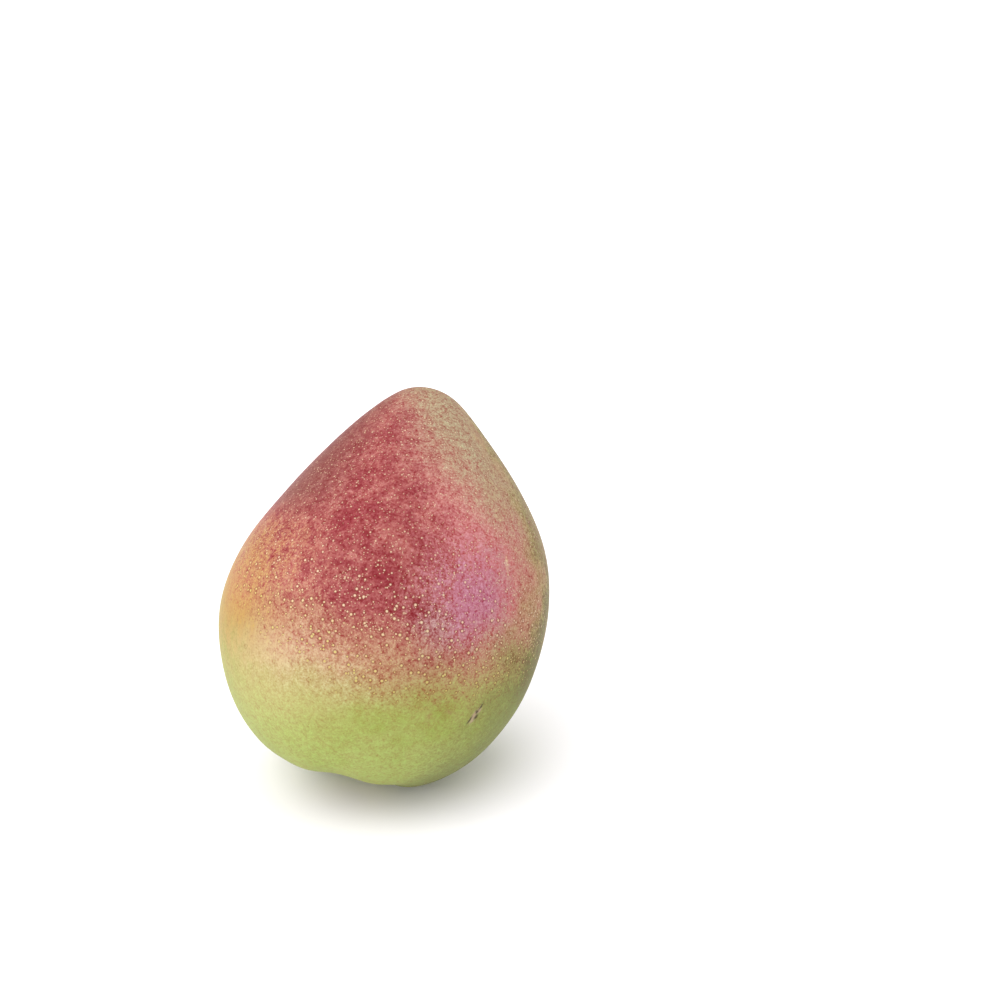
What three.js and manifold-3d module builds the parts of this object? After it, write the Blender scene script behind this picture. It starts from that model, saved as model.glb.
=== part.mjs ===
// A ripe pear, lying tipped back on the lower side of its belly.
// One fleshy body with a woody stem stub at the narrow end and the dried flower at the broad end.
// Lengths are in millimetres. Z points up, X to the right and Y to the back.
import * as THREE from "three";
import { mergeVertices } from "three/addons/utils/BufferGeometryUtils.js";
import Module from "manifold-3d";

const wasm = await Module();
wasm.setup();

// Driving dimensions of the body, measured along its core line from the flower end.
const LENGTH = 92.4;
const POLE_DROP = 2.5; // the closed form starts this far below height 0, inside the hollow it leaves
const BELLY_RADIUS = 37.5;
const GIRTH = [
  // height, radius
  [4.5, 22.2],
  [18, 33],
  [38, BELLY_RADIUS],
  [57.5, 32.8],
  [72, 24.1],
  [86, 11.7],
];
const NECK_SHIFT = 2.8; // the neck swells this far towards the right
const NECK_SHIFT_HEIGHT = 64;
const NECK_SHIFT_SPREAD = 20.5;

// Hollows at the two ends.
const BASIN_DEPTH = 7;
const BASIN_RADIUS = 9;
const CAVITY_DEPTH = 3.8;
const CAVITY_RADIUS = 4.5;
const CREST_LIP = 4.5; // the flesh stands higher on the front side of the stem
const CREST_SPREAD = 14;
const LOBE_HEIGHT = 0.35; // five soft swellings round the flower
const LOBE_RING = 14;
const LOBE_SPREAD = 7;
const LOBE_TURN = 5.2;

// How it lies: tipped back and to the right, its lower end over this point.
const LEAN_BACK = THREE.MathUtils.degToRad(28);
const LEAN_RIGHT = THREE.MathUtils.degToRad(11.6);
const LOWER_END = new THREE.Vector3(-6.5, -16.6, 6.65);

// The stem stub and the dried flower.
const STUB_RADIUS = 1.75;
const STUB_FLARE = 1.1;
const STUB_ROOT = 3.2; // depth sunk in the flesh
const STUB_STAND = 3.7; // height above the floor of the hollow
const SCALES = 4;
const CUP_RADIUS = 3.4;
const CUP_ROOT = 3;
const CUP_STAND = 0.9;
const CUP_HOLLOW = 2.2;
const SEPALS = 5;
const STAMENS = 9;
const GAP = 0.3; // clearance round each sunk root

const BODY_ROWS = 64;
const BODY_COLUMNS = 48;

// Repeatable draws between 0 and 1.
function drawsFrom(seed) {
  let state = seed;
  return () => {
    state = (state * 1664525 + 1013904223) % 4294967296;
    return state / 4294967296;
  };
}

// A closed surface from point(along, turn), with along from 0 to 1 between two single end points.
// Seen from outside, turn runs anticlockwise about the direction that along runs in.
function closedSurface(rows, columns, point) {
  const positions = [];
  const index = [];
  positions.push(...point(0, 0));
  for (let i = 1; i < rows; i++) {
    for (let j = 0; j < columns; j++) {
      positions.push(...point(i / rows, (2 * Math.PI * j) / columns));
    }
  }
  positions.push(...point(1, 0));
  const last = (rows - 1) * columns + 1;
  const at = (i, j) => 1 + (i - 1) * columns + (j % columns);
  for (let j = 0; j < columns; j++) {
    index.push(0, at(1, j + 1), at(1, j));
    for (let i = 1; i < rows - 1; i++) {
      index.push(at(i, j), at(i, j + 1), at(i + 1, j + 1));
      index.push(at(i, j), at(i + 1, j + 1), at(i + 1, j));
    }
    index.push(last, at(rows - 1, j), at(rows - 1, j + 1));
  }
  const geometry = new THREE.BufferGeometry();
  geometry.setAttribute("position", new THREE.Float32BufferAttribute(positions, 3));
  geometry.setIndex(index);
  return geometry;
}

function solidOf(geometry) {
  const bare = geometry.clone();
  bare.deleteAttribute("normal");
  bare.deleteAttribute("uv");
  const merged = mergeVertices(bare, 1e-4);
  return new wasm.Manifold(
    new wasm.Mesh({
      numProp: 3,
      vertProperties: new Float32Array(merged.attributes.position.array),
      triVerts: new Uint32Array(merged.index.array),
    }),
  );
}

function meshOf(solid, name, look) {
  const data = solid.getMesh();
  const geometry = new THREE.BufferGeometry();
  geometry.setAttribute("position", new THREE.BufferAttribute(data.vertProperties, 3));
  geometry.setIndex(new THREE.BufferAttribute(data.triVerts, 1));
  geometry.computeVertexNormals();
  const mesh = new THREE.Mesh(geometry, new THREE.MeshStandardMaterial(look));
  mesh.name = name;
  return mesh;
}

// The one smooth curve of polynomial form that passes through all the girth stations.
const formLength = LENGTH + POLE_DROP;
const stations = GIRTH.map(([height, radius]) => {
  const slope = 1 - (2 * (height + POLE_DROP)) / formLength;
  return [slope, radius / Math.sqrt(1 - slope * slope)];
});

function fullness(slope) {
  let sum = 0;
  stations.forEach(([here, value], i) => {
    let term = value;
    stations.forEach(([other], j) => {
      if (i !== j) {
        term *= (slope - other) / (here - other);
      }
    });
    sum += term;
  });
  return sum;
}

const bell = (distance, spread) => Math.exp(-((distance / spread) ** 2));

// A point of the skin in the pear's own frame, whose Z runs along the core line to the stem.
function skinPoint(along, turn) {
  const angle = Math.PI * (along - (0.6 * Math.sin(2 * Math.PI * along)) / (2 * Math.PI));
  const slope = Math.cos(angle);
  const nearFlower = ((1 + slope) / 2) ** 4;
  const nearStem = ((1 - slope) / 2) ** 4;
  const plain = Math.sin(angle) * fullness(slope);
  let height = -POLE_DROP + (formLength / 2) * (1 - slope);
  height += BASIN_DEPTH * bell(plain, BASIN_RADIUS) * nearFlower;
  height -= CAVITY_DEPTH * bell(plain, CAVITY_RADIUS) * nearStem;
  const lip = CREST_LIP * (plain / 10) * bell(plain, CREST_SPREAD);
  height -= lip * Math.sin(turn) * nearStem;
  const lobe = Math.cos(SEPALS * turn + LOBE_TURN) * bell(plain - LOBE_RING, LOBE_SPREAD);
  height -= LOBE_HEIGHT * lobe * nearFlower;
  const uneven =
    1 + 0.006 * Math.cos(2 * turn + 0.9) + 0.004 * Math.cos(3 * turn - 0.6) * Math.sin(angle);
  const shift = NECK_SHIFT * bell(height - NECK_SHIFT_HEIGHT, NECK_SHIFT_SPREAD);
  return [
    plain * uneven * Math.cos(turn) + shift,
    plain * uneven * Math.sin(turn),
    height,
  ];
}

// Floors of the two hollows on the core line.
const [, , basinFloor] = skinPoint(0, 0);
const [cavityShift, , cavityFloor] = skinPoint(1, 0);

// The stub, grown by a clearance when it is the tool that makes its own socket.
// It flares where it leaves the flesh, is ribbed, and ends in an oblique break.
function stubShape(grow) {
  return closedSurface(22, 28, (along, turn) => {
    const low = -STUB_ROOT - grow;
    const high = STUB_STAND + grow;
    const height = low + (high - low) * along;
    const round = Math.sqrt(Math.max(0, 1 - Math.abs(2 * along - 1) ** 12));
    const ribs = 1 + 0.07 * Math.cos(3 * turn + 0.5) + 0.04 * Math.cos(7 * turn);
    const flare = STUB_FLARE * bell(height, 1.5);
    const swell = 0.25 * bell(height - STUB_STAND, 1.4);
    const radius = ((STUB_RADIUS + flare + swell) * ribs + grow) * round;
    const out = radius / STUB_RADIUS;
    const broken = 0.45 * out * Math.cos(turn - 0.8) + 0.15 * out * Math.cos(4 * turn);
    const bend = 0.035 * Math.max(0, height) ** 2;
    return [
      radius * Math.cos(turn) + bend + cavityShift,
      radius * Math.sin(turn) + 0.5 * bend,
      height + broken * along ** 8 + cavityFloor,
    ];
  });
}

// A small dry scale at the foot of the stub.
function scaleShape(turn, size) {
  return new THREE.SphereGeometry(size, 10, 8)
    .scale(1, 0.8, 1.2)
    .translate(STUB_RADIUS + 0.7, 0, 0.9)
    .rotateZ(turn)
    .translate(cavityShift, 0, cavityFloor);
}

function stemShape(grow) {
  const draw = drawsFrom(5);
  let stem = solidOf(stubShape(grow));
  for (let i = 0; i < SCALES; i++) {
    const turn = (2 * Math.PI * (i + 0.5 * draw())) / SCALES;
    const size = 0.5 + 0.12 * draw() + grow;
    stem = stem.add(solidOf(scaleShape(turn, size)));
  }
  return stem;
}

// The flower faces down the core line, so it is built facing up and turned over at the end.
function facingDown(geometry) {
  return geometry.rotateX(Math.PI).translate(0, 0, basinFloor);
}

// The cup that the withered parts stand in.
function cupShape() {
  const profile = [
    [0, -CUP_ROOT],
    [CUP_RADIUS - 0.6, -CUP_ROOT],
    [CUP_RADIUS, 0.6 - CUP_ROOT],
    [CUP_RADIUS, CUP_STAND - 0.3],
    [CUP_RADIUS - 0.5, CUP_STAND],
    [CUP_HOLLOW, CUP_STAND],
    [CUP_HOLLOW - 0.3, -0.2],
    [0, -0.4],
  ].map(([radius, height]) => new THREE.Vector2(radius, height));
  return new THREE.LatheGeometry(profile, 28).rotateX(Math.PI / 2);
}

// The round pit in the flesh that the cup sits in.
function cupSocket() {
  const radius = CUP_RADIUS + GAP;
  const deep = CUP_ROOT + GAP;
  const tall = deep + 2;
  return new THREE.CylinderGeometry(radius, radius, tall, 28)
    .rotateX(Math.PI / 2)
    .translate(0, 0, tall / 2 - deep);
}

// A withered sepal: an oval blade that rises from the cup and curls outwards to a narrow tip.
function sepalShape(turn, reach, curl) {
  return closedSurface(14, 12, (along, around) => {
    const round = Math.sqrt(Math.max(0, 1 - Math.abs(2 * along - 1) ** 8));
    const half = (0.5 + 1.3 * (1 - along ** 1.6)) * round;
    const thick = (0.42 + 0.1 * Math.sin(9 * along + 2 * turn)) * round;
    const path = 2.5 + curl * along * along;
    const rise = -0.6 + reach * along * (1 - 0.22 * along * along);
    const steep = Math.atan2(2 * curl * along, reach * (1 - 0.66 * along * along));
    const side = half * Math.sin(around);
    const face = thick * Math.cos(around) - 0.18 * side * side * (1 - along);
    const x = path + face * Math.cos(steep);
    const z = rise - face * Math.sin(steep);
    return [
      x * Math.cos(turn) - side * Math.sin(turn),
      x * Math.sin(turn) + side * Math.cos(turn),
      z,
    ];
  });
}

// A dry filament with a small head.
function stamenShape(turn, lean, height) {
  return closedSurface(9, 8, (along, around) => {
    const round = Math.sqrt(Math.max(0, 1 - Math.abs(2 * along - 1) ** 6));
    const radius = (0.34 + 0.22 * bell(along - 0.85, 0.16)) * round;
    const path = 1.25 + lean * along;
    return [
      path * Math.cos(turn) + radius * Math.cos(around),
      path * Math.sin(turn) + radius * Math.sin(around),
      -0.8 + (height + 0.8) * along,
    ];
  });
}

function buildFlower() {
  const draw = drawsFrom(21);
  let flower = solidOf(facingDown(cupShape()));
  for (let i = 0; i < SEPALS; i++) {
    const turn = (2 * Math.PI * (i + 0.22 * (draw() - 0.5))) / SEPALS;
    const reach = 3.5 + 0.7 * draw();
    const curl = 1.3 + 1.1 * draw();
    flower = flower.add(solidOf(facingDown(sepalShape(turn, reach, curl))));
  }
  for (let i = 0; i < STAMENS; i++) {
    const turn = (2 * Math.PI * (i + 0.4 * draw())) / STAMENS;
    const lean = -0.5 + 0.7 * draw();
    const height = 1.6 + 0.9 * draw();
    flower = flower.add(solidOf(facingDown(stamenShape(turn, lean, height))));
  }
  return flower;
}

// From the pear's own frame to the way it lies.
const lying = new THREE.Matrix4()
  .makeRotationX(-LEAN_BACK)
  .multiply(new THREE.Matrix4().makeRotationY(LEAN_RIGHT));
lying.setPosition(LOWER_END);
const laid = (solid) => solid.transform(lying.elements);

// The body: its closed form, the two sockets, and the flat spot pressed where it touches the ground.
const whole = solidOf(closedSurface(BODY_ROWS, BODY_COLUMNS, skinPoint));
const socketed = whole
  .subtract(stemShape(GAP))
  .subtract(solidOf(facingDown(cupSocket())));
const ground = solidOf(new THREE.BoxGeometry(200, 200, 40).translate(0, 0, -20));
const body = laid(socketed).subtract(ground);

const pear = new THREE.Group();
pear.name = "pear";
pear.add(
  meshOf(body, "fruit", { color: 0xb9a75c, roughness: 0.42, metalness: 0 }),
  meshOf(laid(stemShape(0)), "stem", { color: 0x8a7a3c, roughness: 0.8, metalness: 0 }),
  meshOf(laid(buildFlower()), "dried_flower", { color: 0x4c3d38, roughness: 0.9, metalness: 0 }),
);

export default pear;
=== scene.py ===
# %% [markdown]
# # A ripe pear, skin deep
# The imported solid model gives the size, the shape and the place of three pieces: the fruit, its
# stem stub and the dried flower at the broad end. Here each one gets a finer surface and a finish.
# The frame comes first, because everything is set out in its metres, with Z up from the ground.

# %% The frame and its box
import math

import bpy
import numpy as np
from mathutils import Matrix, Vector


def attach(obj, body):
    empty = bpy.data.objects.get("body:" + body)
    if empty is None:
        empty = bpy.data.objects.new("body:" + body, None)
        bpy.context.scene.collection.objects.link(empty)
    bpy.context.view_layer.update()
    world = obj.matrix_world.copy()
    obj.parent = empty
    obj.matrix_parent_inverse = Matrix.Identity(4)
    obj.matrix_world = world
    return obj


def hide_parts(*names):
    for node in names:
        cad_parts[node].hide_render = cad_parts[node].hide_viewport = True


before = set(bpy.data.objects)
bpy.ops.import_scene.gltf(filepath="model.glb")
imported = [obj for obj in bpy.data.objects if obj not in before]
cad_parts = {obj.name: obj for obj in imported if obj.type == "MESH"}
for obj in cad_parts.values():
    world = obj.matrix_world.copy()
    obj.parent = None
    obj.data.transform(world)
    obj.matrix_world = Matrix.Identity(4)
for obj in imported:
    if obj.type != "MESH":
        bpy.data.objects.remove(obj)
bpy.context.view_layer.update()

MM = 0.001
print("nodes in the frame:", sorted(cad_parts))

# %% [markdown]
# ## How the pear lies
# The fruit is worked out upright, along its own core line from the flower to the stem, because
# that is how it grew, and every pattern on its skin follows that line. Then it is laid on its side
# by two turns and one move, the same as in the solid model.

# %% From the pear's own upright frame to the way it lies
LEAN_BACK = math.radians(28)
LEAN_RIGHT = math.radians(11.6)
LOWER_END = np.array([-6.5, -16.6, 6.65])
LYING = np.array(Matrix.Rotation(-LEAN_BACK, 3, "X") @ Matrix.Rotation(LEAN_RIGHT, 3, "Y"))


def lay_down(upright):
    """Turns upright points, in mm, back and to the right, moves them to the resting place, in m."""
    return (upright @ LYING.T + LOWER_END) * MM


print("core line points to", LYING[:, 2].round(3))

# %% [markdown]
# ## Closed surfaces from two parameters
# A fruit, a stalk and a withered leaf are all one closed sack: rings of points between two ends.
# Sculpting would give such a form too, but a formula can be read, checked and made finer at will.
# One helper turns any such formula into a mesh, and it keeps the upright place of each point as an
# attribute, so that a finish can follow the growth of the piece and not the way it happens to lie.

# %% Helper: rings of points between two end points


def sack(place, rows, columns):
    """Points and faces of a closed surface.

    place(along, turn) gives the points for arrays of along, from 0 at one end to 1 at the other,
    and turn, from 0 to a full circle. Each end is a single point, fanned to its nearest ring.
    """
    steps = np.linspace(0, 1, rows + 1)
    turns = np.arange(columns) * (2 * np.pi / columns)
    along, turn = np.meshgrid(steps[1:-1], turns, indexing="ij")
    rings = place(along, turn).reshape(-1, 3)
    ends = place(np.array([[0.0], [1.0]]), np.zeros((2, 1))).reshape(-1, 3)
    points = np.vstack([ends[:1], rings, ends[1:]])
    grid = 1 + np.arange(rings.shape[0]).reshape(rows - 1, columns)
    beside = np.roll(grid, -1, axis=1)
    quads = np.stack([grid[:-1], beside[:-1], beside[1:], grid[1:]], axis=-1).reshape(-1, 4)
    last = len(points) - 1
    first_fan = np.stack([np.zeros(columns, int), beside[0], grid[0]], axis=-1)
    last_fan = np.stack([np.full(columns, last), grid[-1], beside[-1]], axis=-1)
    return points, quads.tolist() + first_fan.tolist() + last_fan.tolist()


def joined(sacks):
    """Several closed surfaces as one set of points and faces, each one still closed by itself."""
    points, faces, count = [], [], 0
    for some_points, some_faces in sacks:
        points.append(some_points)
        faces.extend([[corner + count for corner in face] for face in some_faces])
        count += len(some_points)
    return np.vstack(points), faces


# %% Helper: a piece of the pear, laid down and fixed to the frame


def make_piece(name, surface, node, finish):
    """A mesh object from upright points in mm. It rides on the one body and replaces its node."""
    upright, faces = surface
    mesh = bpy.data.meshes.new(name)
    mesh.from_pydata(lay_down(upright).tolist(), [], faces)
    grown = mesh.attributes.new("grown", "FLOAT_VECTOR", "POINT")
    grown.data.foreach_set("vector", upright.astype(np.float32).ravel())
    normals = np.zeros(upright.size, np.float32)
    mesh.vertex_normals.foreach_get("vector", normals)
    outward = mesh.attributes.new("outward", "FLOAT_VECTOR", "POINT")
    outward.data.foreach_set("vector", (normals.reshape(-1, 3) @ LYING).astype(np.float32).ravel())
    mesh.polygons.foreach_set("use_smooth", np.ones(len(mesh.polygons), bool))
    mesh.materials.append(finish.material)
    mesh.validate()
    piece = bpy.data.objects.new(name, mesh)
    bpy.context.scene.collection.objects.link(piece)
    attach(piece, "root")
    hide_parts(node)
    triangles = sum(len(face) - 2 for face in faces)
    size = np.ptp(lay_down(upright), axis=0) / MM
    print(f"{name}: {triangles} triangles, {size.round(1)} mm")
    return piece


# %% [markdown]
# ## Shader maths as plain expressions
# A finish is built from numbers that vary over the surface: how much blush, how near a skin dot.
# Drawn by hand, such a sum is a web of small boxes. Written as an expression it reads as what it
# is, so one small class wraps a socket and lets Python's own operators add the nodes.

# %% A number that varies over the surface


class Signal:
    """One output socket of a node. Sums with it add Math nodes to the same finish."""

    def __init__(self, finish, socket):
        self.finish = finish
        self.socket = socket

    def math(self, operation, other=0.0, flipped=False):
        """A Math node on this number and another one, or on the two in the other order."""
        first, second = (other, self) if flipped else (self, other)
        settings = {"operation": operation}
        return self.finish.node("ShaderNodeMath", settings, {0: first, 1: second})

    def __add__(self, other):
        return self.math("ADD", other)

    def __radd__(self, other):
        return self.math("ADD", other, flipped=True)

    def __sub__(self, other):
        return self.math("SUBTRACT", other)

    def __rsub__(self, other):
        return self.math("SUBTRACT", other, flipped=True)

    def __mul__(self, other):
        return self.math("MULTIPLY", other)

    def __rmul__(self, other):
        return self.math("MULTIPLY", other, flipped=True)

    def __truediv__(self, other):
        return self.math("DIVIDE", other)

    def clipped(self):
        """The same number, held between 0 and 1."""
        return self.finish.node("ShaderNodeClamp", {}, {"Value": self})

    def most(self, other):
        """The greater of the two numbers."""
        return self.math("MAXIMUM", other)


# %% A finish: one material and the ways to add to it


class Finish:
    """One material. node() adds any node, and the other methods name the few sums used often."""

    def __init__(self, name):
        self.material = bpy.data.materials.new(name)
        self.material.use_nodes = True
        self.tree = self.material.node_tree
        self.tree.nodes.clear()

    def node(self, kind, settings=None, inputs=None, output=0):
        """Adds a node, sets its settings first, then its sockets' values or links."""
        made = self.tree.nodes.new(kind)
        for key, value in (settings or {}).items():
            setattr(made, key, value)
        for key, value in (inputs or {}).items():
            if isinstance(value, Signal):
                self.tree.links.new(value.socket, made.inputs[key])
            else:
                made.inputs[key].default_value = value
        return Signal(self, made.outputs[output])

    def kept(self, name):
        """A vector kept on the mesh: "grown", the upright place in mm, or "outward"."""
        named = {"attribute_type": "GEOMETRY", "attribute_name": name}
        return self.node("ShaderNodeAttribute", named, {}, "Vector")

    def stretched(self, place, factors, shift=(0, 0, 0)):
        """Each coordinate times its factor, plus its shift."""
        settings = {"operation": "MULTIPLY_ADD"}
        return self.node("ShaderNodeVectorMath", settings, {0: place, 1: factors, 2: shift})

    def along(self, place, way):
        """The dot product of the place with a fixed way: one number in mm."""
        settings = {"operation": "DOT_PRODUCT"}
        return self.node("ShaderNodeVectorMath", settings, {0: place, 1: way}, "Value")

    def facing(self, place, degrees):
        """1 on the side that faces the given turn round the core line, -1 on the far side.

        Within about 6 mm of the core line it fades to 0, so that no sharp sectors meet there.
        """
        level = self.stretched(place, (1, 1, 0), (0, 0, 6))
        outwards = self.node("ShaderNodeVectorMath", {"operation": "NORMALIZE"}, {0: level})
        turn = math.radians(degrees)
        return self.along(outwards, (math.cos(turn), math.sin(turn), 0))

    def noise(self, place, size, detail=2.0, roughness=0.5):
        """Smooth noise about 0, whose patches are about size mm wide."""
        inputs = {"Vector": place, "Scale": 1 / size, "Detail": detail, "Roughness": roughness}
        return self.node("ShaderNodeTexNoise", {}, inputs) - 0.5

    def spot(self, place, centre, spread):
        """A soft spot: 1 at its centre, and falling as a bell curve with its spread on each axis."""
        factors = [1 / s for s in spread]
        shift = [-c / s for c, s in zip(centre, spread)]
        gap = self.stretched(place, factors, shift)
        settings = {"operation": "DOT_PRODUCT"}
        square = self.node("ShaderNodeVectorMath", settings, {0: gap, 1: gap}, "Value")
        return square.math("POWER", math.exp(-1), flipped=True)

    def step(self, value, low, high):
        """0 below low, 1 above high, and a smooth S curve between them."""
        settings = {"interpolation_type": "SMOOTHSTEP"}
        ends = {0: value, 1: low, 2: high, 3: 0.0, 4: 1.0}
        return self.node("ShaderNodeMapRange", settings, ends)

    def mix(self, factor, under, over, blend="MIX"):
        """The colour under, covered by the colour over as far as factor says."""
        settings = {"data_type": "RGBA", "blend_type": blend, "clamp_factor": True}
        colours = {0: factor, 6: under, 7: over}
        return self.node("ShaderNodeMix", settings, colours, 2)

    def toned(self, colour, amount, strengths):
        """The colour times 1 + amount * strengths, with its own strength for red, green and blue."""
        settings = {"operation": "MULTIPLY_ADD"}
        tone = self.node("ShaderNodeVectorMath", settings, {0: amount, 1: strengths, 2: (1, 1, 1)})
        return self.node("ShaderNodeVectorMath", {"operation": "MULTIPLY"}, {0: colour, 1: tone})

    def shade(self, colour, roughness, height, constants):
        """The shader at the end: colour, roughness, a relief in mm or None, and its constants."""
        inputs = {**constants, "Base Color": colour, "Roughness": roughness}
        if height is not None:
            bump = {"Height": height, "Distance": MM, "Strength": 1.0}
            inputs["Normal"] = self.node("ShaderNodeBump", {}, bump, "Normal")
        surface = self.node("ShaderNodeBsdfPrincipled", {}, inputs)
        output = self.tree.nodes.new("ShaderNodeOutputMaterial")
        self.tree.links.new(surface.socket, output.inputs["Surface"])


LIGHT_GAIN = 1.28


def rgb(red, green, blue):
    """A colour as it looks on a screen, 0 to 255, turned into the linear values of a shader.

    The light here is strong enough to whiten the ground, so the result is divided by that gain.
    """
    screen = np.array([red, green, blue]) / 255
    linear = np.where(screen <= 0.04045, screen / 12.92, ((screen + 0.055) / 1.055) ** 2.4)
    return (*(linear / LIGHT_GAIN).tolist(), 1.0)


# %% [markdown]
# ## The form of the fruit
# A pear is one grown piece: a broad belly round the core, and a neck that narrows to the stem.
# Its girth is one smooth curve through six stations along the core line. On top of it come the
# hollow with the flower at the broad end, the small hollow with the stem at the other, a lip of
# flesh in front of the stem, five soft swellings round the flower where the five chambers of the
# core press outwards, and a slight swelling of the neck to one side. All sizes are in mm.

# %% Girth along the core line
LENGTH = 92.4
POLE_DROP = 2.5
FORM_LENGTH = LENGTH + POLE_DROP
GIRTH = [(4.5, 22.2), (18, 33), (38, 37.5), (57.5, 32.8), (72, 24.1), (86, 11.7)]

# %% The hollows, the lip and the swellings
FLOWER_HOLLOW_DEPTH, FLOWER_HOLLOW_WIDTH = 7, 9
STEM_HOLLOW_DEPTH, STEM_HOLLOW_WIDTH = 3.8, 4.5
LIP_RISE, LIP_WIDTH = 0.45, 14
CHAMBERS, CHAMBER_SWELL, CHAMBER_RADIUS, CHAMBER_WIDTH = 5, 0.35, 14, 7
NECK_SHIFT, NECK_HEIGHT, NECK_SPREAD = 2.8, 64, 20.5
SKIN_ROWS, SKIN_COLUMNS = 340, 252


def fullness(slope):
    """The polynomial through all stations, as a sum of one Lagrange term for each station."""
    heights, radii = np.array(GIRTH, float).T
    slopes = 1 - 2 * (heights + POLE_DROP) / FORM_LENGTH
    values = radii / np.sqrt(1 - slopes**2)
    total = 0
    for i, (here, value) in enumerate(zip(slopes, values)):
        others = np.delete(slopes, i)
        total = total + value * np.prod([(slope - o) / (here - o) for o in others], axis=0)
    return total


def bell(distance, spread):
    """exp(-(distance / spread) squared)."""
    return np.exp(-((distance / spread) ** 2))


# %% Slight unevenness that no two fruits share
WAVES = 26
WAVE_RISE = 0.0009
wave_rng = np.random.default_rng(11)
wave_lengths = wave_rng.uniform(13, 38, WAVES)
wave_ways = wave_rng.normal(size=(WAVES, 3))
wave_ways /= np.linalg.norm(wave_ways, axis=1, keepdims=True)
wave_starts = wave_rng.uniform(0, 2 * np.pi, WAVES)


def unevenness(points):
    """A sum of seeded plane waves of 13 to 38 mm, in mm, higher where the wave is longer."""
    phase = points @ (wave_ways / wave_lengths[:, None]).T * 2 * np.pi + wave_starts
    return (np.sin(phase) * wave_lengths * WAVE_RISE).sum(axis=-1)


# %% The skin as a function of two parameters


def skin(along, turn):
    """A point of the skin in mm, upright.

    The angle runs from 0 at the flower to pi at the stem, and its rows lie closer near both ends.
    The radius is sin(angle) times the fullness; the height is a cosine, plus the hollows, the lip
    and the five swellings. The neck's section is moved sideways by a bell curve over the height.
    """
    angle = np.pi * (along - 0.6 * np.sin(2 * np.pi * along) / (2 * np.pi))
    slope = np.cos(angle)
    near_flower = ((1 + slope) / 2) ** 4
    near_stem = ((1 - slope) / 2) ** 4
    plain = np.sin(angle) * fullness(slope)
    height = -POLE_DROP + FORM_LENGTH / 2 * (1 - slope)
    height = height + FLOWER_HOLLOW_DEPTH * bell(plain, FLOWER_HOLLOW_WIDTH) * near_flower
    height = height - STEM_HOLLOW_DEPTH * bell(plain, STEM_HOLLOW_WIDTH) * near_stem
    height = height - LIP_RISE * plain * bell(plain, LIP_WIDTH) * np.sin(turn) * near_stem
    swelling = CHAMBER_SWELL * np.cos(CHAMBERS * turn + 5.2)
    height = height - swelling * bell(plain - CHAMBER_RADIUS, CHAMBER_WIDTH) * near_flower
    uneven = 1 + 0.006 * np.cos(2 * turn + 0.9) + 0.004 * np.cos(3 * turn - 0.6) * np.sin(angle)
    shift = NECK_SHIFT * bell(height - NECK_HEIGHT, NECK_SPREAD)
    ways = np.stack([np.cos(turn), np.sin(turn), 0 * turn], axis=-1)
    points = (plain * uneven)[..., None] * ways
    points[..., 0] += shift
    points[..., 2] += height
    lift = unevenness(points) * np.sin(angle)
    return points + lift[..., None] * ways


def rested(surface):
    """The same surface, pressed flat where it would reach below the ground."""
    points, faces = surface
    laid = lay_down(points)
    deeper = np.minimum(laid[:, 2], 0) / MM
    return points - deeper[:, None] * LYING[2], faces


fruit_surface = rested(sack(skin, SKIN_ROWS, SKIN_COLUMNS))
print("fruit upright:", np.ptp(fruit_surface[0], axis=0).round(1), "mm")

# %% [markdown]
# ## The skin's finish
# Pear skin is thin, waxy and slightly clear. Its ground is a yellow-green, and where the sun fell
# it carries a crimson blush that ends in a haze of fine specks. Small pale dots, through which the
# fruit breathes, lie all over it. A painted picture would hold all of that, but it would not
# follow a fruit of another size, so each layer is a sum of noise, soft spots and cells, laid one
# over the other in the order in which they lie in the real skin.

# %% The skin's patterns, from broad to fine
skin_finish = Finish("pear_skin")
place = skin_finish.kept("grown")
# The same place, moved about by up to 3.5 mm, so that no patch on it has a plain round edge.
wander = skin_finish.node(
    "ShaderNodeTexNoise", {}, {"Vector": place, "Scale": 1 / 13, "Detail": 3.0}, "Color"
)
drift = skin_finish.stretched(wander, (7, 7, 7), (-3.5, -3.5, -3.5))
roamed = skin_finish.node("ShaderNodeVectorMath", {"operation": "ADD"}, {0: place, 1: drift})
fibres = skin_finish.stretched(place, (1, 1, 0.22))

broad = skin_finish.noise(place, 16, 3)
patchy = skin_finish.noise(place, 5, 3, 0.6)
fine = skin_finish.noise(place, 1.5, 2, 0.6)
grit = skin_finish.noise(place, 0.52, 2, 0.7)
streaks = skin_finish.noise(fibres, 2.0, 3, 0.6)
# Above 0 the skin is lighter, and below 0 darker.
specks = grit * 1.4 + fine * 0.8 + patchy * 0.4 + streaks * 0.9
upwards = skin_finish.along(roamed, (0, 0, 1))
right = skin_finish.facing(roamed, 20) + broad * 0.7
left = skin_finish.facing(roamed, -170)

# %% The skin's layers: the ground colour


def patches(finish, where, spots):
    """The sum of several soft spots, each given by its centre, its spread and its strength."""
    total = 0.0
    for centre, spread, strength in spots:
        total = finish.spot(where, centre, spread) * strength + total
    return total.clipped()


def ragged(mask, torn=1.2):
    """The mask, made uneven by the specks where it is neither 0 nor 1.

    Specks above 0 are light, so a mask of a dark colour is torn the other way, by less than 0.
    """
    return (mask + specks * torn * (4 * mask * (1 - mask)).clipped()).clipped()


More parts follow.
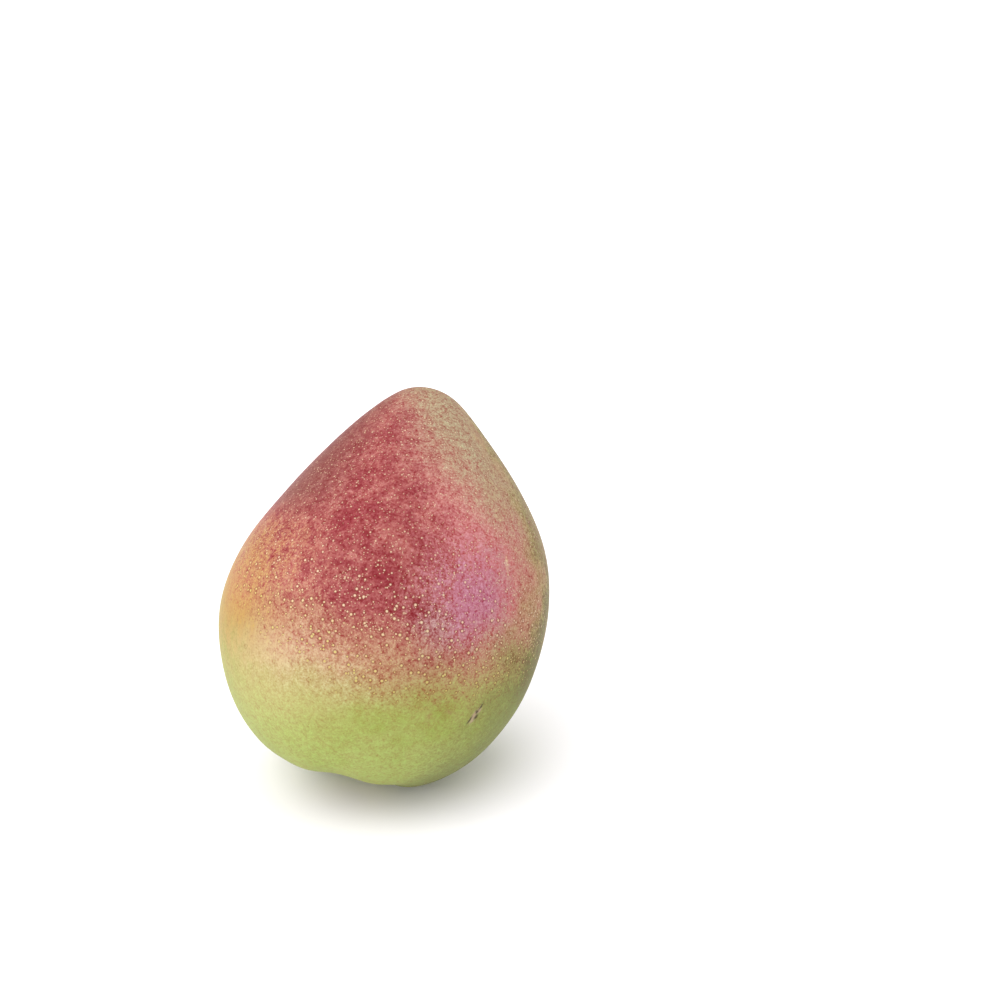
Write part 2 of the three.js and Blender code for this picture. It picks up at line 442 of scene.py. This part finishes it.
ground = skin_finish.mix(
    skin_finish.step(broad + 0.5 * patchy, -0.22, 0.22), rgb(147, 159, 66), rgb(165, 171, 91)
)
pale_side = patches(
    skin_finish,
    roamed,
    [((-22, -26, 17), (13, 18, 12), 0.8), ((-8, -35, 17), (11, 18, 9), 0.5)],
)
ground = skin_finish.mix(pale_side, ground, rgb(184, 174, 112))
low = 1 - skin_finish.step(upwards, 4, 20)
ground = skin_finish.mix(low * 0.4, ground, rgb(176, 186, 112))
# Olive green on the right, with a soft edge low down and a crisp one higher up. It is partly the
# flank's own colour and partly painted shade: a darker green low on the right, and a dark olive band
# at mid height that stands in for the shade of a fruit lying close beside this one.
waist = skin_finish.step(upwards, 40, 46) * (1 - skin_finish.step(upwards, 52, 60))
olive_and_shade_low = skin_finish.step(right - specks * 0.2, 0.3, 1.0) * 0.9
olive_and_shade_top = skin_finish.step(right - specks * 0.2 - waist * 0.1, 0.52, 0.76)
olive_and_shade = olive_and_shade_low + (olive_and_shade_top - olive_and_shade_low) * skin_finish.step(upwards, 20, 36)
olive_and_shade = (olive_and_shade + patches(skin_finish, roamed, [((31, -19, 35), (6, 12, 5), 0.6)])).clipped()
far_side = skin_finish.step(skin_finish.facing(roamed, 62) + broad * 0.5, 0.3, 0.85)
olive_and_shade = olive_and_shade * (1 - 0.85 * far_side)
olive_and_shade_colour = skin_finish.mix(
    skin_finish.step(upwards, 14, 36), rgb(126, 131, 74), rgb(104, 99, 32)
)
high = skin_finish.step(upwards, 48, 64)
olive_and_shade_colour = skin_finish.mix(high, olive_and_shade_colour, rgb(144, 122, 74))
ground = skin_finish.mix(olive_and_shade * 0.9, ground, olive_and_shade_colour)
cream = patches(skin_finish, roamed, [((-16, -33, 27), (20, 20, 7), 1.0)])
ground = skin_finish.mix(ragged(cream), ground, rgb(200, 174, 134))
orange = patches(skin_finish, roamed, [((-31, -17, 38), (11, 20, 13), 1.2)])
ground = skin_finish.mix(ragged(orange), ground, rgb(184, 144, 80))
# Russet skin in the two hollows, laid over everything further down.
basins = patches(
    skin_finish, place, [((0, 0, 2), (9, 9, 5), 0.9), ((0, 0, 92), (6, 6, 5), 0.9)]
)
freckles = 1 - skin_finish.step(grit + 0.5 * fine, -0.26, -0.08)
ground = skin_finish.mix(freckles * 0.14, ground, rgb(158, 108, 64))

# %% The skin's layers: the blush
sunny = skin_finish.along(roamed, (0.15, -0.6, 1)) - specks * 8
blush = skin_finish.step(sunny, 34, 60)
rose = skin_finish.mix(
    skin_finish.step(patchy + broad * 0.5 + fine * 0.5, -0.2, 0.2),
    rgb(148, 62, 66),
    rgb(174, 100, 94),
)
margin = 1 - skin_finish.step(sunny + patchy * 20, 40, 66)
rose = skin_finish.mix(margin * 0.8, rose, rgb(190, 116, 108))
crimson = patches(
    skin_finish,
    roamed,
    [
        ((1, -36, 46), (6, 22, 4), 1.0),
        ((-8, -33, 55), (7, 22, 5), 0.7),
        ((10, -36, 37), (6, 22, 4), 0.8),
        ((-9, -36, 38), (4, 22, 4), 0.3),
        ((-6, -30, 63), (12, 20, 6), 0.3),
        ((-18, -16, 72), (13, 18, 10), 0.6),
    ],
)
rose = skin_finish.mix(ragged(crimson, -1.2) * 0.85, rose, rgb(138, 40, 50))
dusky = patches(
    skin_finish, roamed, [((8, -13, 84), (9, 20, 12), 0.7), ((2, -4, 94), (20, 20, 6.5), 1.2)]
)
rose = skin_finish.mix(ragged(dusky, 0.7), rose, rgb(146, 110, 93))
amber = patches(skin_finish, roamed, [((-29, -23, 45), (11, 16, 8), 0.75)])
rose = skin_finish.mix(ragged(amber, 2.0) * 0.7, rose, rgb(186, 140, 86))
shaded_neck = skin_finish.step(left, 0.4, 0.95) * skin_finish.step(upwards, 52, 62)
rose = skin_finish.mix(shaded_neck * 0.8, rose, rgb(128, 76, 68))

# %% The skin's layers: the paler blush on the right
across = skin_finish.along(roamed, (1, 0, 0.42)) + specks * 5
salmon = skin_finish.step(across, 27, 46)
tanned = skin_finish.step(upwards + right * 24 + specks * 8, 58, 86)
pale_blush = skin_finish.mix(tanned, rgb(204, 124, 122), rgb(174, 148, 118))
rose = skin_finish.mix(salmon, rose, pale_blush)
violet = patches(skin_finish, roamed, [((22, -29, 44), (9, 18, 10), 1.1)])
rose = skin_finish.mix(ragged(violet, 1.6) * 0.8, rose, rgb(184, 116, 138))
faded = patches(skin_finish, roamed, [((14, -35, 37), (3.2, 16, 4.5), 0.65)])
rose = skin_finish.mix(ragged(faded, 0.7), rose, rgb(186, 140, 136))
ochre = skin_finish.step(right + specks * 0.5, 0.3, 1.0)
rose = skin_finish.mix(ochre * (1 - 0.5 * far_side), rose, rgb(182, 134, 96))
# The blush is mostly left out where the olive and its painted shade lie.
colour = skin_finish.mix(blush * (1 - 0.87 * olive_and_shade), ground, rose)
colour = skin_finish.mix(ragged(basins, 1.8) * 0.6, colour, rgb(150, 112, 68))
mottle = grit + 0.5 * fine
colour = skin_finish.toned(colour, mottle * (0.45 + 0.85 * blush), (0.8, 2.2, 2.0))

# %% [markdown]
# The breathing dots are cells of a Voronoi pattern: each cell has one centre, and the skin above
# such a centre is pale. Two sizes, one wide apart and one close together, give the mix of bold
# and faint dots of the real skin, and a thin darker ring sets each one off. Where the skin stayed
# green the dots are small brown pores instead.

# %% The skin's layers: breathing dots


def breathing_dots(finish, where, outward, cell, radius, seed):
    """Pale dots and the darker rings round them, as two masks.

    The cell pattern fills space, so its centres lie above and below the skin. A centre within a
    third of a cell of the skin makes a dot: the gap to it is split into the part along the outward
    way and the part along the skin, and the masks are smooth steps of that second part / radius.
    """
    inputs = {"Vector": finish.stretched(where, (1, 1, 1), (seed, seed, seed)), "Scale": 1 / cell}
    settings = {"operation": "SUBTRACT"}
    centre = finish.node("ShaderNodeTexVoronoi", {}, inputs, "Position")
    gap = finish.node("ShaderNodeVectorMath", settings, {0: inputs["Vector"], 1: centre})
    rise = finish.along(gap, outward)
    aside = (finish.along(gap, gap) - rise * rise).most(0.0).math("SQRT")
    luck = finish.node("ShaderNodeTexVoronoi", {}, inputs, "Color")
    chance = finish.node("ShaderNodeSeparateColor", {}, {0: luck}, 0)
    shown = 1 - finish.step(rise.math("ABSOLUTE"), 0.32 * cell, 0.38 * cell)
    near = aside / ((chance * 0.75 + 0.62) * radius)
    dot = (1 - finish.step(near, 0.45, 1.15)) * shown
    ring = finish.step(near, 0.8, 1.2) * (1 - finish.step(near, 1.4, 2.2)) * shown
    return dot, ring


BOLD_CELL, FAINT_CELL, PORE_CELL = 1.85, 1.05, 1.9
FAINT_RADIUS, PORE_RADIUS = 0.135, 0.17
outward = skin_finish.kept("outward")
belly = 1 - skin_finish.step(upwards, 38, 56)
edge = skin_finish.step(sunny, 37, 48)
bold_radius = 0.18 + 0.07 * belly
bold, bold_ring = breathing_dots(skin_finish, place, outward, BOLD_CELL, bold_radius, 3.7)
faint, faint_ring = breathing_dots(skin_finish, place, outward, FAINT_CELL, FAINT_RADIUS, 9.2)
bold = bold * edge
rings = (bold_ring * edge * (0.2 + 0.35 * belly)).most(faint_ring * blush * 0.2)
colour = skin_finish.mix(rings, colour, rgb(122, 60, 44))
pores = breathing_dots(skin_finish, place, outward, PORE_CELL, PORE_RADIUS, 6.1)[0]
colour = skin_finish.mix(pores * (1 - blush) * 0.4, colour, rgb(146, 104, 58))
dots = (bold * (0.7 + 0.25 * belly)).most(faint * (0.14 + (0.3 + 0.3 * belly) * blush))
dot_colour = skin_finish.mix(
    skin_finish.step(sunny, 44, 62), rgb(208, 194, 108), rgb(230, 206, 170)
)
colour = skin_finish.mix(dots, colour, dot_colour)

# %% [markdown]
# A few marks belong to this one fruit: a healed scar low on the right with three brown smears near
# it, a pale scuff above it and four small groups of crowded pale flecks. The scar and the scuff are
# drawn in small flat frames on the skin, with one way round the fruit and one way up, because both
# are long and narrow. The others are soft spots at their place.

# %% The skin's layers: scar, scuff and crowded flecks


def mark_frame(finish, where, centre, slant):
    """Flat coordinates in mm at a place on the skin: across, up, and the distance off the skin.

    The upward way leans with the girth's slope of 0.3 there, and both ways turn by the slant.
    """
    turn = math.atan2(centre[1], centre[0])
    across = Vector((-math.sin(turn), math.cos(turn), 0))
    up = Vector((0.3 * math.cos(turn), 0.3 * math.sin(turn), 1)).normalized()
    out = across.cross(up)
    turned = Matrix.Rotation(math.radians(slant), 3, out)
    gap = finish.stretched(where, (1, 1, 1), [-c for c in centre])
    parts = [finish.along(gap, way) for way in (turned @ across, turned @ up, out)]
    return finish.node("ShaderNodeCombineXYZ", {}, dict(enumerate(parts)))


scar_place = mark_frame(skin_finish, place, (26.3, -21.4, 20.0), -4)
bent = skin_finish.stretched(
    skin_finish.node("ShaderNodeTexNoise", {}, {"Vector": place, "Scale": 1.4}, "Color"),
    (0.6, 0.6, 0),
    (-0.3, -0.3, 0),
)
scar_place = skin_finish.node(
    "ShaderNodeVectorMath", {"operation": "ADD"}, {0: scar_place, 1: bent}
)
scar_pale = patches(
    skin_finish,
    scar_place,
    [
        ((0.1, -1.4, 0), (0.5, 0.9, 2), 1.4),
        ((-0.3, 0, 0), (0.5, 0.9, 2), 1.3),
        ((0.4, 1.2, 0), (0.45, 0.7, 2), 1.2),
    ],
)
scar_dark = patches(
    skin_finish,
    scar_place,
    [
        ((-0.1, 0.8, 0), (0.4, 0.4, 2), 1.5),
        ((0.65, -0.4, 0), (0.4, 0.6, 2), 1.5),
        ((-0.6, -1.6, 0), (0.24, 0.9, 2), 1.5),
        ((0.2, 2.3, 0), (0.2, 0.9, 2), 1.3),
    ],
)
colour = skin_finish.mix(scar_pale * 0.75, colour, rgb(196, 166, 140))
colour = skin_finish.mix(scar_dark * 0.85, colour, rgb(66, 50, 42))
smears = patches(
    skin_finish,
    place,
    [
        ((20.7, -26.5, 19.4), (1.3, 1.3, 0.6), 0.8),
        ((16.6, -28.3, 17.6), (0.4, 2, 1.4), 0.6),
        ((25.6, -22.5, 16.5), (0.8, 0.8, 0.5), 0.8),
    ],
)
colour = skin_finish.mix(smears * 0.7, colour, rgb(160, 124, 84))
flecks, fleck_rings = breathing_dots(skin_finish, place, outward, 0.6, 0.17, 1.4)
scuff = patches(
    skin_finish,
    mark_frame(skin_finish, place, (26.6, -24.2, 53.7), 0),
    [((0, 0.6, 0), (0.5, 1.0, 3), 1.6), ((0.25, -1.2, 0), (0.25, 0.9, 3), 1.0)],
)
crowded = patches(
    skin_finish,
    place,
    [
        ((0.9, -37.3, 34.3), (1.3, 3, 1.1), 1.0),
        ((-6.9, -36.2, 43.3), (1.2, 3, 1.2), 0.7),
        ((15.5, -32.9, 49.5), (0.9, 3, 1.3), 0.9),
        ((-11, -17.6, 75), (1.6, 3, 0.6), 0.9),
    ],
)
pale_flecks = (scuff * (0.3 + flecks)).clipped().most((crowded * 1.5).clipped() * flecks)
colour = skin_finish.mix(crowded * fleck_rings * 0.4, colour, rgb(116, 60, 44))
colour = skin_finish.mix(pale_flecks, colour, rgb(222, 200, 160))

# %% The skin's layers: roughness, relief and the shader
roughness = 0.48 + patchy * 0.08 - dots * 0.05
relief = fine * 0.05 + grit * 0.04 + patchy * 0.05 + bold * 0.02 - scar_dark * 0.1
skin_finish.shade(
    colour,
    roughness,
    relief,
    {
        "Subsurface Weight": 0.12,
        "Subsurface Radius": (1.0, 0.5, 0.25),
        "Subsurface Scale": 0.002,
        "Specular IOR Level": 0.15,
        "IOR": 1.38,
    },
)
fruit = make_piece("fruit_skin", fruit_surface, "fruit", skin_finish)

# %% [markdown]
# ## The stem stub
# The stem broke off short. What is left is a woody peg, flared where it joins the flesh, ribbed
# along its fibres and torn at its end, with a few dry scales at its foot. It could be a cylinder
# with a rough top, but then its foot would look stuck on, so its radius is a sum: the peg, the
# flare as a bell curve, and the ribs as waves round it.

# %% The stub and its scales
STUB_ROOT, STUB_TALL, STUB_RADIUS = -3.2, 6.9, 1.75
SCALES = 4
SCALE_GAP = 2.45
cavity = skin(np.array([[1.0]]), np.zeros((1, 1)))[0, 0]


def stub(along, turn):
    """A ribbed peg that flares at height 0 and ends in an oblique break, in mm."""
    height = STUB_ROOT + STUB_TALL * along
    rounding = np.sqrt(np.maximum(0, 1 - np.abs(2 * along - 1) ** 12))
    ribs = 1 + 0.07 * np.cos(3 * turn + 0.5) + 0.04 * np.cos(7 * turn)
    ribs = ribs + 0.025 * np.sin(19 * turn + 3 * np.sin(2 * height))
    flares = 1.1 * bell(height, 1.5) + 0.25 * bell(height - 3.7, 1.4)
    radius = (STUB_RADIUS + flares) * ribs * rounding
    out = radius / STUB_RADIUS
    torn = 0.45 * np.cos(turn - 0.8) + 0.15 * np.cos(4 * turn) + 0.1 * np.sin(11 * turn)
    bend = 0.035 * np.maximum(0, height) ** 2
    x = radius * np.cos(turn) + bend
    y = radius * np.sin(turn) + 0.5 * bend
    return np.stack([x, y, height + out * torn * along**8], axis=-1) + cavity


def scale(turn_at, size):
    """An ellipsoid with a wavy edge at the foot of the stub."""

    def place_scale(along, turn):
        angle = np.pi * along
        wavy = size * np.sin(angle) * (1 + 0.12 * np.cos(3 * turn))
        x = SCALE_GAP + wavy * np.cos(turn)
        y = 0.8 * wavy * np.sin(turn)
        z = 0.9 - 1.2 * size * np.cos(angle)
        c, s = np.cos(turn_at), np.sin(turn_at)
        return np.stack([x * c - y * s, x * s + y * c, z], axis=-1) + cavity

    return place_scale


stub_rng = np.random.default_rng(5)
stem_parts = [sack(stub, 90, 96)]
for i in range(SCALES):
    at = 2 * np.pi * (i + 0.5 * stub_rng.random()) / SCALES
    stem_parts.append(sack(scale(at, 0.5 + 0.12 * stub_rng.random()), 16, 20))

# %% The stub's finish: dry green wood, browned at its edges
stem_finish = Finish("stem_bark")
stem_place = stem_finish.kept("grown")
long_grain = stem_finish.noise(stem_finish.stretched(stem_place, (1, 1, 0.2)), 0.35, 3, 0.6)
blotch = stem_finish.noise(stem_place, 1.4, 3, 0.6)
height = stem_finish.node("ShaderNodeSeparateXYZ", {}, {0: stem_place}, "Z")
hollow_floor = float(cavity[2])
foot = 1 - stem_finish.step(height, hollow_floor + 0.6, hollow_floor + 1.7)
top = stem_finish.step(height, hollow_floor + 2.9, hollow_floor + 3.7)
bark = stem_finish.mix(
    stem_finish.step(blotch + long_grain, -0.25, 0.3), rgb(150, 140, 70), rgb(112, 92, 48)
)
bark = stem_finish.mix((foot * 0.7 + top * 0.8 + blotch).clipped(), bark, rgb(72, 46, 30))
stem_finish.shade(
    bark, 0.75 + blotch * 0.1, long_grain * 0.15 + blotch * 0.1, {"Specular IOR Level": 0.3}
)
stem = make_piece("stem_stub", joined(stem_parts), "stem", stem_finish)

# %% [markdown]
# ## The dried flower
# Under the broad end the flower that the fruit grew from is still there: a small cup, five sepals
# that withered and curled outwards, and the dry stamens inside. A sepal is a blade whose
# centre line leaves the cup and bends away, with its width shrinking to a point and its edges
# cupped and crinkled.

# %% The cup, sepals and stamens
SEPALS = 5
STAMENS = 14
basin = skin(np.array([[0.0]]), np.zeros((1, 1)))[0, 0]


def facing_down(points):
    """Points built upwards from the cup's floor, turned over and put in the basin."""
    return points * np.array([1, -1, -1]) + basin


def cup(along, turn):
    """A thick-walled cup: a closed outline that goes up outside, over the rim and down inside."""
    outline_at = np.array([0, 0.12, 0.3, 0.55, 0.66, 0.74, 0.88, 1])
    radius = np.interp(along, outline_at, [0, 2.8, 3.4, 3.4, 2.9, 2.2, 1.9, 0])
    height = np.interp(along, outline_at, [-3, -3, -2.4, 0.6, 0.9, 0.9, -0.2, -0.4])
    crinkle = 1 + 0.03 * np.sin(9 * turn + 5 * height) + 0.02 * np.sin(17 * turn)
    radius = radius * crinkle
    return facing_down(np.stack([radius * np.cos(turn), radius * np.sin(turn), height], -1))


def sepal(turn_at, reach, curl, seed):
    """A withered blade. Its path rises by reach and bends out by curl; its width ends in a tip."""

    def blade(along, around):
        rounding = np.sqrt(np.maximum(0, 1 - np.abs(2 * along - 1) ** 8))
        half = (0.3 + 1.5 * (1 - along**1.6)) * rounding
        thick = (0.3 + 0.08 * np.sin(9 * along + seed)) * rounding
        path = 2.5 + curl * along**2
        rise = -0.6 + reach * along * (1 - 0.22 * along**2)
        steep = np.arctan2(2 * curl * along, reach * (1 - 0.66 * along**2))
        side = half * np.sin(around)
        crinkle = 0.12 * np.sin(5 * side + 7 * along + seed) * along
        face = thick * np.cos(around) - 0.18 * side**2 * (1 - along) + crinkle
        x = path + face * np.cos(steep)
        z = rise - face * np.sin(steep)
        c, s = np.cos(turn_at), np.sin(turn_at)
        return facing_down(np.stack([x * c - side * s, x * s + side * c, z], -1))

    return blade


def stamen(turn_at, lean, tall):
    """A dry thread with a small head."""

    def thread(along, around):
        rounding = np.sqrt(np.maximum(0, 1 - np.abs(2 * along - 1) ** 6))
        radius = (0.2 + 0.25 * bell(along - 0.85, 0.12)) * rounding
        path = 1.25 + lean * along + 0.15 * np.sin(6 * along)
        x = path * np.cos(turn_at) + radius * np.cos(around)
        y = path * np.sin(turn_at) + radius * np.sin(around)
        return facing_down(np.stack([x, y, -0.8 + (tall + 0.8) * along], -1))

    return thread


flower_rng = np.random.default_rng(21)
flower_parts = [sack(cup, 60, 80)]
for i in range(SEPALS):
    at = 2 * np.pi * (i + 0.22 * (flower_rng.random() - 0.5)) / SEPALS
    reach = 3.5 + 0.7 * flower_rng.random()
    curl = 1.3 + 1.1 * flower_rng.random()
    flower_parts.append(sack(sepal(at, reach, curl, 2.0 * i), 44, 40))
for i in range(STAMENS):
    at = 2 * np.pi * (i + 0.4 * flower_rng.random()) / STAMENS
    tall = 1.6 + 1.0 * flower_rng.random()
    flower_parts.append(sack(stamen(at, -0.6 + 0.8 * flower_rng.random(), tall), 24, 12))

# %% The flower's finish: grey-brown, dry and wrinkled
flower_finish = Finish("dry_flower")
flower_place = flower_finish.kept("grown")
wrinkle = flower_finish.noise(flower_place, 0.5, 3, 0.6)
dust = flower_finish.noise(flower_place, 1.6, 2, 0.6)
husk = flower_finish.mix(
    flower_finish.step(wrinkle + dust, -0.25, 0.3), rgb(58, 40, 36), rgb(128, 108, 100)
)
flower_finish.shade(husk, 0.85 + dust * 0.1, wrinkle * 0.25, {"Specular IOR Level": 0.25})
flower = make_piece(
    "dried_flower_end", joined(flower_parts), "dried_flower", flower_finish
)

# %% [markdown]
# ## Ground, light and camera
# The pear lies on a plain white ground. One large lamp would draw a long shadow, so four lights
# that each fill a wide part of the sky, and an even sky behind them, stand in for a studio tent.
# The two strongest come from the front left and from above, a weaker one comes from the right, and
# the shadow stays close to the foot of the fruit. Together they are a little stronger than the
# picture can show, so the ground turns plain white close to the shadow. The camera looks down by
# 22 degrees from about 45 cm, where the pear's outline in the picture has its width and its slant.

# %% The ground
GROUND_REACH = 40.0
GROUND_COLOUR = (0.93, 0.91, 0.94, 1.0)
floor_finish = Finish("white_ground")
floor_finish.shade(GROUND_COLOUR, 0.9, None, {"Specular IOR Level": 0.0})
floor_mesh = bpy.data.meshes.new("ground")
corner_signs = [(-1, -1), (1, -1), (1, 1), (-1, 1)]
corners = [(x * GROUND_REACH, y * GROUND_REACH, 0) for x, y in corner_signs]
floor_mesh.from_pydata(corners, [], [(0, 1, 2, 3)])
floor_mesh.materials.append(floor_finish.material)
ground_plane = bpy.data.objects.new("ground", floor_mesh)
bpy.context.scene.collection.objects.link(ground_plane)

# %% The lights


def wide_light(name, comes_from, spread, strength):
    """A far, wide and soft light, so that the whole ground is lit alike. The spread is in degrees."""
    lamp = bpy.data.lights.new(name, "SUN")
    lamp.angle = math.radians(spread)
    lamp.energy = strength
    lamp_object = bpy.data.objects.new(name, lamp)
    towards = -Vector(comes_from)
    lamp_object.rotation_euler = towards.to_track_quat("-Z", "Y").to_euler()
    bpy.context.scene.collection.objects.link(lamp_object)


wide_light("key_light", (-0.9, -0.9, 0.7), 80, 2.06)
wide_light("upper_light", (-0.5, -0.1, 1.0), 100, 2.04)
wide_light("top_light", (0.1, 0.2, 1.0), 150, 0.88)
wide_light("right_light", (0.8, 0.3, 1.0), 90, 0.88)

SKY_STRENGTH = 0.31
world = bpy.data.worlds.new("studio")
bpy.context.scene.world = world
world.use_nodes = True
sky = world.node_tree.nodes["Background"]
sky.inputs["Color"].default_value = (1, 1, 1, 1)
sky.inputs["Strength"].default_value = SKY_STRENGTH
bpy.context.scene.view_settings.view_transform = "Standard"

# %% The camera
CAMERA_TURN_DOWN = math.radians(22)
AIM = Vector((28.8, 0, 68.9)) * MM
DISTANCE = 442 * MM
LENS = 70
SENSOR_WIDTH = 36
camera_data = bpy.data.cameras.new("camera")
camera_data.lens = LENS
camera_data.sensor_width = SENSOR_WIDTH
camera = bpy.data.objects.new("camera", camera_data)
back = Vector((0, -math.cos(CAMERA_TURN_DOWN), math.sin(CAMERA_TURN_DOWN)))
camera.location = AIM + back * DISTANCE
camera.rotation_euler = (math.radians(90) - CAMERA_TURN_DOWN, 0, 0)
bpy.context.scene.collection.objects.link(camera)
bpy.context.scene.camera = camera
